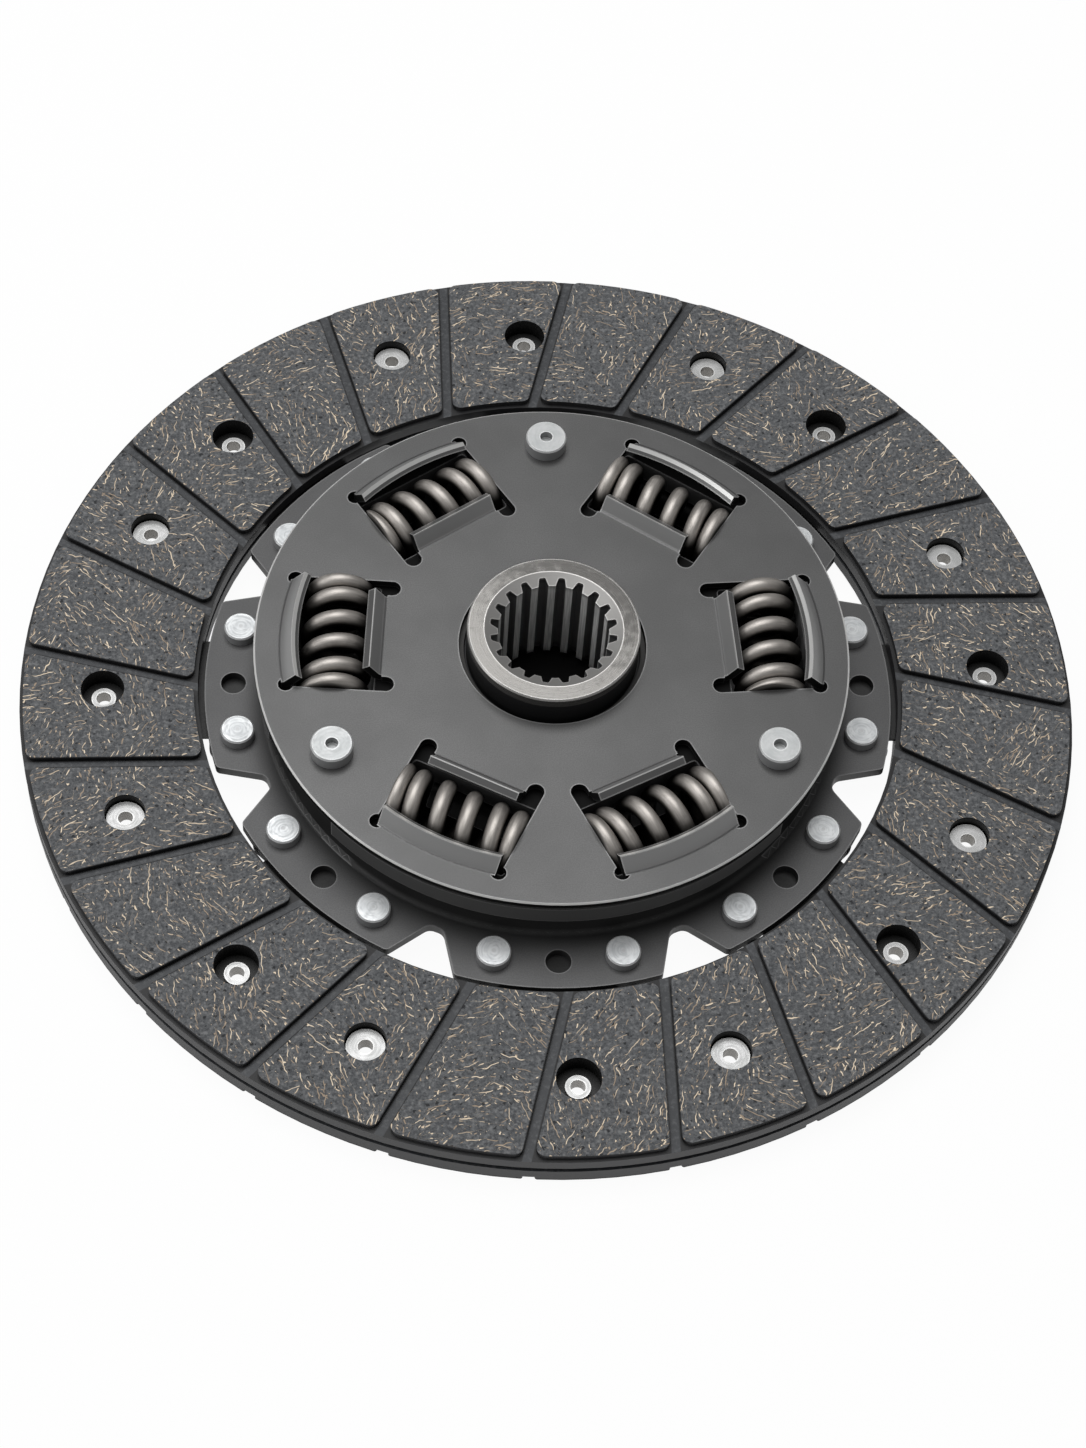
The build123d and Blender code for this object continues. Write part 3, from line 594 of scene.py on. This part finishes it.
def makeZincMaterial(name, look):
    material, tree, surface, place = newMaterial(name)
    where, radius, angle, up = (place[n] for n in ("Place", "Radius", "Angle", "Up"))
    near = None
    for turn in look["turns"]:
        distance = useGroup(tree, holeGroup, Radius=radius, Angle=angle, Circle=look["circle"], Turn=turn,
                            Count=look["count"]).outputs["Distance"]
        near = distance if near is None else calc(tree, "MINIMUM", near, distance)
    grain = useGroup(tree, grainGroup, Place=where, Coarse=0.35, Fine=5.0).outputs
    swirl = noise(tree, combine(tree, times(tree, near, 2.2), times(tree, angle, 60.0), 0.0), 1.0, 2.0, 0.5)
    colour = mixColour(tree, fade(tree, grain["Patch"], 0.35, 0.65), look["base"], look["light"])
    colour = mixColour(tree, fade(tree, swirl, 0.4, 0.7, 0.0, look["swirl"]), colour, look["dark"])
    level = fade(tree, up, 0.5, 0.85)
    # a darker spot at the head's centre: painted shade for a small dimple
    dimple = fade(tree, near, look["dimple"] * 0.5, look["dimple"], look["dimpleDepth"], 0.0)
    colour = mixColour(tree, dimple, colour, look["side"])
    colour = mixColour(tree, level, look["side"], colour)
    glint = useGroup(tree, glintGroup).outputs["Mask"]
    colour = mixColour(tree, times(tree, glint, fade(tree, up, 0.1, 0.5)), colour, look["glint"])
    roughness = fade(tree, swirl, 0.3, 0.75, look["roughness"] - 0.07, look["roughness"] + 0.07)
    normal = bump(tree, calc(tree, "ADD", swirl, times(tree, grain["Grain"], 0.4)), 0.25, 0.00006)
    finishSurface(tree, surface, colour, roughness, look["metallic"], normal)
    return material


segmentRivetLook = {
    "base": (0.49, 0.505, 0.515), "light": (0.6, 0.615, 0.62), "dark": (0.31, 0.325, 0.335),
    "side": (0.42, 0.425, 0.43), "swirl": 0.55, "roughness": 0.36, "metallic": 0.4,
    "dimple": 0.55, "dimpleDepth": 0.8, "glint": (0.85, 0.86, 0.86),
    "circle": 67.5, "turns": (-11.25, 11.25), "count": disc["lobes"],
}
stopPinLook = {
    "base": (0.42, 0.435, 0.437), "light": (0.49, 0.5, 0.502), "dark": (0.32, 0.33, 0.33),
    "side": (0.38, 0.385, 0.39), "swirl": 0.22, "roughness": 0.38, "metallic": 0.35,
    "dimple": 0.5, "dimpleDepth": 0.0,
    "glint": (0.75, 0.76, 0.76), "circle": 53.2, "turns": (90.0,), "count": 3.0,
}
liningRivetLook = {
    "base": (0.45, 0.455, 0.45), "light": (0.54, 0.54, 0.54), "dark": (0.35, 0.35, 0.345),
    "side": (0.4, 0.385, 0.36), "swirl": 0.3, "roughness": 0.36, "metallic": 0.35,
    "dimple": 0.5, "dimpleDepth": 0.0,
    "glint": (0.74, 0.74, 0.73), "circle": disc["rivetCircle"],
    "turns": (disc["sunkenRivetTurn"], disc["flatRivetTurn"]), "count": disc["lobes"],
}


# The hub: bare turned steel on its top ring and the first 2 mm of its side, black below, dark splines.
# The ring is painted darker on one side as painted shade, mixed with random mottle; its edges carry
# painted highlight lines, the spline crests are painted near white as a painted highlight, and the
# flange's top is painted near black as painted shade under the plates.

hubLook = {
    "machined": (0.17, 0.165, 0.157), "machinedLight": (0.25, 0.243, 0.232),
    # the darker tone and its turn: painted shade on one side of the ring, mixed with random mottle
    "machinedDark": (0.07, 0.068, 0.065), "worn": (0.07, 0.068, 0.065), "wearTurn": 0.55,
    # edge: painted highlight lines on the ring's edges
    "edge": (0.5, 0.49, 0.475), "ringInner": 14.6, "ringOuter": 17.8,
    "leadIn": (0.3, 0.295, 0.287), "leadInRoughness": 0.55, "glint": (0.6, 0.59, 0.575),
    "black": (0.016, 0.016, 0.017), "spline": (0.14, 0.14, 0.14),
    # crest colours: painted highlight on the spline crests
    "crestHighlight": (0.9, 0.9, 0.885), "crestHighlightDim": (0.65, 0.65, 0.64), "crestRadius": 11.82,
    # near black painted shade on the flange's top
    "flange": (0.006, 0.006, 0.006), "flangeEdge": (0.1, 0.1, 0.1), "flangeGlint": (0.4, 0.4, 0.4),
    "bareAbove": (25.75, 26.05), "bareBelow": (3.6, 3.9), "leadInHeights": (26.8, 27.0),
    "barrelRadius": 18.2, "flangeRadii": (18.4, 18.6), "splineRadii": (14.85, 15.05),
    "blackRoughness": 0.5, "blackMetallic": 0.4, "bareMetallic": 0.9, "flangeRoughness": 0.9,
}


def makeHubMaterial():
    look = hubLook
    material, tree, surface, place = newMaterial("hubMaterial")
    where, radius, angle, height, up = (place[n] for n in ("Place", "Radius", "Angle", "Height", "Up"))
    grain = useGroup(tree, grainGroup, Place=where, Coarse=0.5, Fine=4.0).outputs
    rings = noise(tree, combine(tree, times(tree, radius, 5.0), times(tree, angle, 0.6),
                                times(tree, height, 5.0)), 1.0, 3.0, 0.6)
    machined = mixColour(tree, fade(tree, rings, 0.35, 0.65), look["machined"], look["machinedLight"])
    machined = mixColour(tree, fade(tree, grain["Grain"], 0.45, 0.75, 0.0, 0.4), machined,
                         look["machinedDark"])
    # painted shade on one side of the ring, by angle, mixed with random mottle
    wear = calc(tree, "ADD", calc(tree, "SINE", calc(tree, "ADD", angle, look["wearTurn"])),
                times(tree, calc(tree, "SUBTRACT", grain["Patch"], 0.5), 3.0))
    machined = mixColour(tree, fade(tree, wear, -0.5, 1.0, 0.0, 0.85), machined, look["worn"])
    onLeadIn = fade(tree, radius, look["ringInner"] - 0.1, look["ringInner"], 1.0, 0.0)
    machined = mixColour(tree, onLeadIn, machined, look["leadIn"])
    # painted highlight lines on the ring's inner and outer edges
    innerEdge = band(tree, radius, look["ringInner"] - 0.12, look["ringInner"] + 0.12, 0.04)
    outerEdgeHighlight = band(tree, radius, look["ringOuter"], look["barrelRadius"] - 0.05, 0.04)
    machined = mixColour(tree, calc(tree, "MAXIMUM", innerEdge, outerEdgeHighlight), machined, look["edge"])
    glint = useGroup(tree, glintGroup).outputs["Mask"]
    machined = mixColour(tree, times(tree, glint, fade(tree, up, 0.3, 0.5, 0.0, 0.8)), machined,
                         look["glint"])
    bare = calc(tree, "MAXIMUM", fade(tree, height, *look["bareAbove"]),
                fade(tree, height, *look["bareBelow"], 1.0, 0.0))
    colour = mixColour(tree, bare, look["black"], machined)
    inBore = fade(tree, radius, *look["splineRadii"], 1.0, 0.0)
    streak = noise(tree, combine(tree, times(tree, angle, 40.0), 0.0,
                                 times(tree, height, 0.15)), 1.0, 2.0, 0.5)
    # the spline crests are painted near white as a painted highlight
    crestHighlight = mixColour(tree, fade(tree, streak, 0.35, 0.65), look["crestHighlightDim"], look["crestHighlight"])
    onCrest = fade(tree, radius, look["crestRadius"] - 0.05, look["crestRadius"] + 0.05, 1.0, 0.0)
    splineColour = mixColour(tree, onCrest, look["spline"], crestHighlight)
    inBore = times(tree, inBore, fade(tree, height, *look["leadInHeights"], 1.0, 0.0))
    colour = mixColour(tree, inBore, colour, splineColour)
    # the flange's top is painted near black as painted shade under the plates; its walls keep their own
    # grey
    onFlange = fade(tree, radius, *look["flangeRadii"])
    flange = mixColour(tree, fade(tree, calc(tree, "ABSOLUTE", up), 0.5, 0.9), look["flangeEdge"],
                       look["flange"])
    flange = mixColour(tree, times(tree, glint, 0.6), flange, look["flangeGlint"])
    colour = mixColour(tree, onFlange, colour, flange)
    roughness = mixValue(tree, bare, look["blackRoughness"], fade(tree, rings, 0.3, 0.7, 0.24, 0.38))
    roughness = mixValue(tree, onLeadIn, roughness, look["leadInRoughness"])
    roughness = mixValue(tree, onFlange, roughness, look["flangeRoughness"])
    normal = bump(tree, calc(tree, "ADD", rings, times(tree, grain["Grain"], 0.5)), 0.2, 0.00005)
    metallic = mixValue(tree, bare, look["blackMetallic"], look["bareMetallic"])
    finishSurface(tree, surface, colour, roughness, metallic, normal)
    return material


# Damper springs: warm grey polished wire with faint drawn lines along it. The wire's side towards the
# coil's axis and the coils' low parts are painted near black as painted shade.

springLook = {
    "base": (0.4, 0.375, 0.35), "light": (0.5, 0.472, 0.442), "dark": (0.25, 0.23, 0.212),
    # the near black tone: painted shade where the wire is unlit
    "inner": (0.02, 0.018, 0.016), "litHeights": (20.0, 22.9), "roughness": 0.5, "metallic": 0.95,
}


def makeSpringMaterial():
    look = springLook
    material, tree, surface, place = newMaterial("springMaterial")
    along = tree.nodes.new("ShaderNodeAttribute")
    along.attribute_name = "wirePlace"
    u, side, outward = separate(tree, along.outputs["Vector"])
    grain = useGroup(tree, grainGroup, Place=place["Place"], Coarse=0.5, Fine=6.0).outputs
    drawn = noise(tree, combine(tree, times(tree, u, 0.3), times(tree, side, 4.0),
                                times(tree, outward, 4.0)), 1.0, 3.0, 0.6)
    colour = mixColour(tree, fade(tree, drawn, 0.35, 0.7), look["base"], look["light"])
    colour = mixColour(tree, fade(tree, grain["Patch"], 0.5, 0.75, 0.0, 0.3), colour, look["dark"])
    # painted shade, near black, on the wire's side towards the coil's axis and on the coils' low parts
    lit = times(tree, fade(tree, outward, -0.1, 0.75),
                fade(tree, place["Height"], *look["litHeights"]))
    colour = mixColour(tree, lit, look["inner"], colour)
    roughness = fade(tree, drawn, 0.3, 0.7, look["roughness"] - 0.02, look["roughness"] + 0.04)
    normal = bump(tree, drawn, 0.03, 0.00003)
    finishSurface(tree, surface, colour, roughness, look["metallic"], normal)
    return material


materials = {
    "lining": makeLiningMaterial(),
    "retainer": makePlateMaterial("retainerMaterial", retainerLook),
    "carrier": makePlateMaterial("carrierMaterial", carrierLook),
    "segment": makePlateMaterial("segmentMaterial", segmentLook),
    "frictionRing": makePlateMaterial("frictionRingMaterial", ringLook),
    "segmentRivet": makeZincMaterial("segmentRivetMaterial", segmentRivetLook),
    "stopPin": makeZincMaterial("stopPinMaterial", stopPinLook),
    "liningRivet": makeZincMaterial("liningRivetMaterial", liningRivetLook),
    "hub": makeHubMaterial(),
    "spring": makeSpringMaterial(),
}
print("materials made:", len(materials))


def dress(piece, material):
    piece.data.materials.clear()
    piece.data.materials.append(material)


finishOf = {
    "upper_lining": "lining", "lower_lining": "lining", "carrier_plate": "carrier",
    "retainer_plate": "retainer", "hub": "hub", "segment_rivets": "segmentRivet",
    "upper_lining_rivets": "liningRivet",
    "lower_lining_rivets": "liningRivet", "upper_friction_washer": "frictionRing",
    "centring_bush": "frictionRing", "cone_spring": "spring", "cushion_segment": "segment",
    "stop_pin": "stopPin", "damper_spring": "spring",
}
for name, node in nodes.items():
    dress(node, materials[finishOf[name.rstrip("_0123456789")]])
print("nodes dressed")


# Damper springs, in millimetres. "starts" says at which end of its window a coil begins, and "phases"
# how far round it does.

springShape = {
    "circle": 45.6, "coilRadius": 6.02, "wire": 3.56, "length": 27.9, "turns": 5.6,
    "closedTurns": 1.2, "closedPitch": 3.67, "stepsPerTurn": 56, "stepsAround": 24,
    "travelDegrees": 8.0, "tiltRoom": 1.2,
    "starts": (-1, -1, 1, 1, 1, -1), "phases": (0.45, 0.25, 0.5, 0.22, 0.2, 0.28),
}


# A wire along a helix: the height along the coil grows by the closed pitch near both ends and by the
# open pitch between them. Round each point lies a circle square to the helix's tangent, and what would
# stand past the end planes is pressed flat onto them, as the ground ends are.

def makeCoil(name, windowTurn, start, phase):
    s = springShape
    openLength = s["length"] - 2 * s["closedTurns"] * s["closedPitch"]
    openPitch = openLength / (s["turns"] - 2 * s["closedTurns"])
    steps = int(s["turns"] * s["stepsPerTurn"])
    t = np.linspace(0.0, s["turns"], steps + 1)
    first = np.minimum(t, s["closedTurns"])
    last = np.maximum(t - (s["turns"] - s["closedTurns"]), 0.0)
    rise = (first + last) * s["closedPitch"] + (t - first - last) * openPitch
    turn = 2 * np.pi * (t - phase) + np.pi / 2
    outward = np.stack([np.cos(turn), np.zeros_like(turn), np.sin(turn)], 1)
    centre = s["coilRadius"] * outward
    centre[:, 1] = rise - s["length"] / 2
    tangent = np.gradient(centre, axis=0)
    tangent /= np.linalg.norm(tangent, axis=1, keepdims=True)
    side = np.cross(tangent, outward)
    around = np.linspace(0.0, 2 * np.pi, s["stepsAround"], endpoint=False)
    cosine, sine = np.cos(around), np.sin(around)
    ring = outward[:, None] * cosine[None, :, None] + side[:, None] * sine[None, :, None]
    points = centre[:, None] + ring * s["wire"] / 2
    points[..., 1] = np.clip(points[..., 1], -s["length"] / 2, s["length"] / 2)
    points[..., 0] *= -start
    points[..., 1] *= start
    points = points.reshape(-1, 3)
    a = math.radians(windowTurn)
    radial = np.array([math.cos(a), math.sin(a), 0.0])
    tangential = np.array([-math.sin(a), math.cos(a), 0.0])
    placed = (points[:, :1] + s["circle"]) * radial + points[:, 1:2] * tangential
    placed[:, 2] += points[:, 2] + disc["springLevel"]
    rows, columns = steps + 1, s["stepsAround"]
    grid = np.arange(rows * columns).reshape(rows, columns)
    nextColumn = np.roll(grid, -1, 1)
    quads = np.stack([grid[:-1], nextColumn[:-1], nextColumn[1:], grid[1:]], -1).reshape(-1, 4)
    faces = quads.tolist() + [grid[0][::-1].tolist(), grid[-1].tolist()]
    mesh = bpy.data.meshes.new(name)
    mesh.from_pydata((placed * mm).tolist(), [], faces)
    wireLength = t * 2 * np.pi * s["coilRadius"]
    wirePlace = np.stack([np.repeat(wireLength, columns), np.tile(sine, rows), np.tile(cosine, rows)], 1)
    attribute = mesh.attributes.new("wirePlace", "FLOAT_VECTOR", "POINT")
    attribute.data.foreach_set("vector", wirePlace.astype(np.float32).ravel())
    mesh.validate()
    mesh.shade_smooth()
    coil = bpy.data.objects.new(name, mesh)
    bpy.context.scene.collection.objects.link(coil)
    dress(coil, materials["spring"])
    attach(coil, "springs")
    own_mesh(coil)
    return coil


windows = zip(disc["windowTurns"], springShape["starts"], springShape["phases"])
for number, (windowTurn, start, phase) in enumerate(windows, 1):
    coil = makeCoil(f"damperCoil{number}", windowTurn, start, phase)
    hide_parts(f"damper_spring_{number}")
print("springs wound:", len(disc["windowTurns"]))


# The studio: a pale floor with a painted shadow, near black, under the disc, a plain world, and soft lamps

studio = {
    "floorSize": 6.0, "floorColour": (0.9, 0.9, 0.9), "floorGlow": 0.95,
    # painted shadow under the disc: its colour, centre and radii
    "paintedShadowColour": (0.01, 0.01, 0.01), "paintedShadowCentre": (0.0, 5.5, 0.0), "paintedShadowFrom": 56.5, "paintedShadowTo": 59.5,
    "worldColour": (1.0, 1.0, 1.0), "worldStrength": 0.26,
    "lamps": {
        "backSoft": {"place": (-0.2, 0.38, 1.44), "aim": (0.0, 0.0, 0.0), "size": 1.1, "power": 15.5},
        "leftSoft": {"place": (-1.3, -0.2, 1.0), "aim": (0.0, 0.0, 0.0), "size": 0.8, "power": 5.0},
    },
}


def makeStudio():
    half = studio["floorSize"] / 2
    mesh = bpy.data.meshes.new("floor")
    mesh.from_pydata([(-half, -half, 0.0), (half, -half, 0.0), (half, half, 0.0), (-half, half, 0.0)],
                     [], [(0, 1, 2, 3)])
    floor = bpy.data.objects.new("floor", mesh)
    bpy.context.scene.collection.objects.link(floor)
    material = bpy.data.materials.new("floorMaterial")
    material.use_nodes = True
    tree = material.node_tree
    tree.nodes.clear()
    place = useGroup(tree, placeGroup).outputs["Place"]
    # a painted shadow: the floor is near black and without glow under the disc
    fromPaintedShadow = vectorCalc(tree, "DISTANCE", place, studio["paintedShadowCentre"], output="Value")
    clear = fade(tree, fromPaintedShadow, studio["paintedShadowFrom"], studio["paintedShadowTo"])
    matt = tree.nodes.new("ShaderNodeBsdfDiffuse")
    plug(tree, mixColour(tree, clear, studio["paintedShadowColour"], studio["floorColour"]), matt.inputs["Color"])
    glow = tree.nodes.new("ShaderNodeEmission")
    ray = tree.nodes.new("ShaderNodeLightPath")
    seen = calc(tree, "MAXIMUM", ray.outputs["Is Camera Ray"], ray.outputs["Is Glossy Ray"])
    seen = calc(tree, "MAXIMUM", seen, ray.outputs["Is Transmission Ray"])
    seen = times(tree, seen, clear)
    mix = tree.nodes.new("ShaderNodeMixShader")
    plug(tree, times(tree, seen, studio["floorGlow"]), mix.inputs[0])
    plug(tree, matt.outputs[0], mix.inputs[1])
    plug(tree, glow.outputs[0], mix.inputs[2])
    plug(tree, mix.outputs[0], tree.nodes.new("ShaderNodeOutputMaterial").inputs[0])
    dress(floor, material)
    world = bpy.data.worlds.new("studioWorld")
    bpy.context.scene.world = world
    world.use_nodes = True
    backdrop = world.node_tree.nodes["Background"]
    backdrop.inputs["Color"].default_value = (*studio["worldColour"], 1.0)
    backdrop.inputs["Strength"].default_value = studio["worldStrength"]
    for name, lamp in studio["lamps"].items():
        light = bpy.data.lights.new(name, "AREA")
        light.shape = "SQUARE"
        light.size = lamp["size"]
        light.energy = lamp["power"]
        holder = bpy.data.objects.new(name, light)
        bpy.context.scene.collection.objects.link(holder)
        holder.location = lamp["place"]
        holder.rotation_mode = "QUATERNION"
        holder.rotation_quaternion = (Vector(lamp["aim"]) - Vector(lamp["place"])).to_track_quat("-Z", "Y")


# The camera stands where the photograph was taken from

photoCamera = {
    "place": (-0.036697, -0.361280, 0.549874), "aim": (-0.001130, -0.005650, 0.0),
    "roll": 4.972, "lens": 75.62, "sensor": 36.0, "clip": (0.01, 20.0),
}


def makeCamera():
    data = bpy.data.cameras.new("photoCamera")
    data.sensor_fit = "AUTO"
    data.sensor_width = photoCamera["sensor"]
    data.lens = photoCamera["lens"]
    data.clip_start, data.clip_end = photoCamera["clip"]
    camera = bpy.data.objects.new("photoCamera", data)
    bpy.context.scene.collection.objects.link(camera)
    direction = Vector(photoCamera["aim"]) - Vector(photoCamera["place"])
    camera.location = photoCamera["place"]
    camera.rotation_mode = "QUATERNION"
    roll = Quaternion((0.0, 0.0, 1.0), math.radians(photoCamera["roll"]))
    camera.rotation_quaternion = direction.to_track_quat("-Z", "Y") @ roll
    bpy.context.scene.camera = camera


makeStudio()
makeCamera()
bpy.context.scene.view_settings.view_transform = "Standard"
print("studio and camera ready")

bpy.context.view_layer.update()
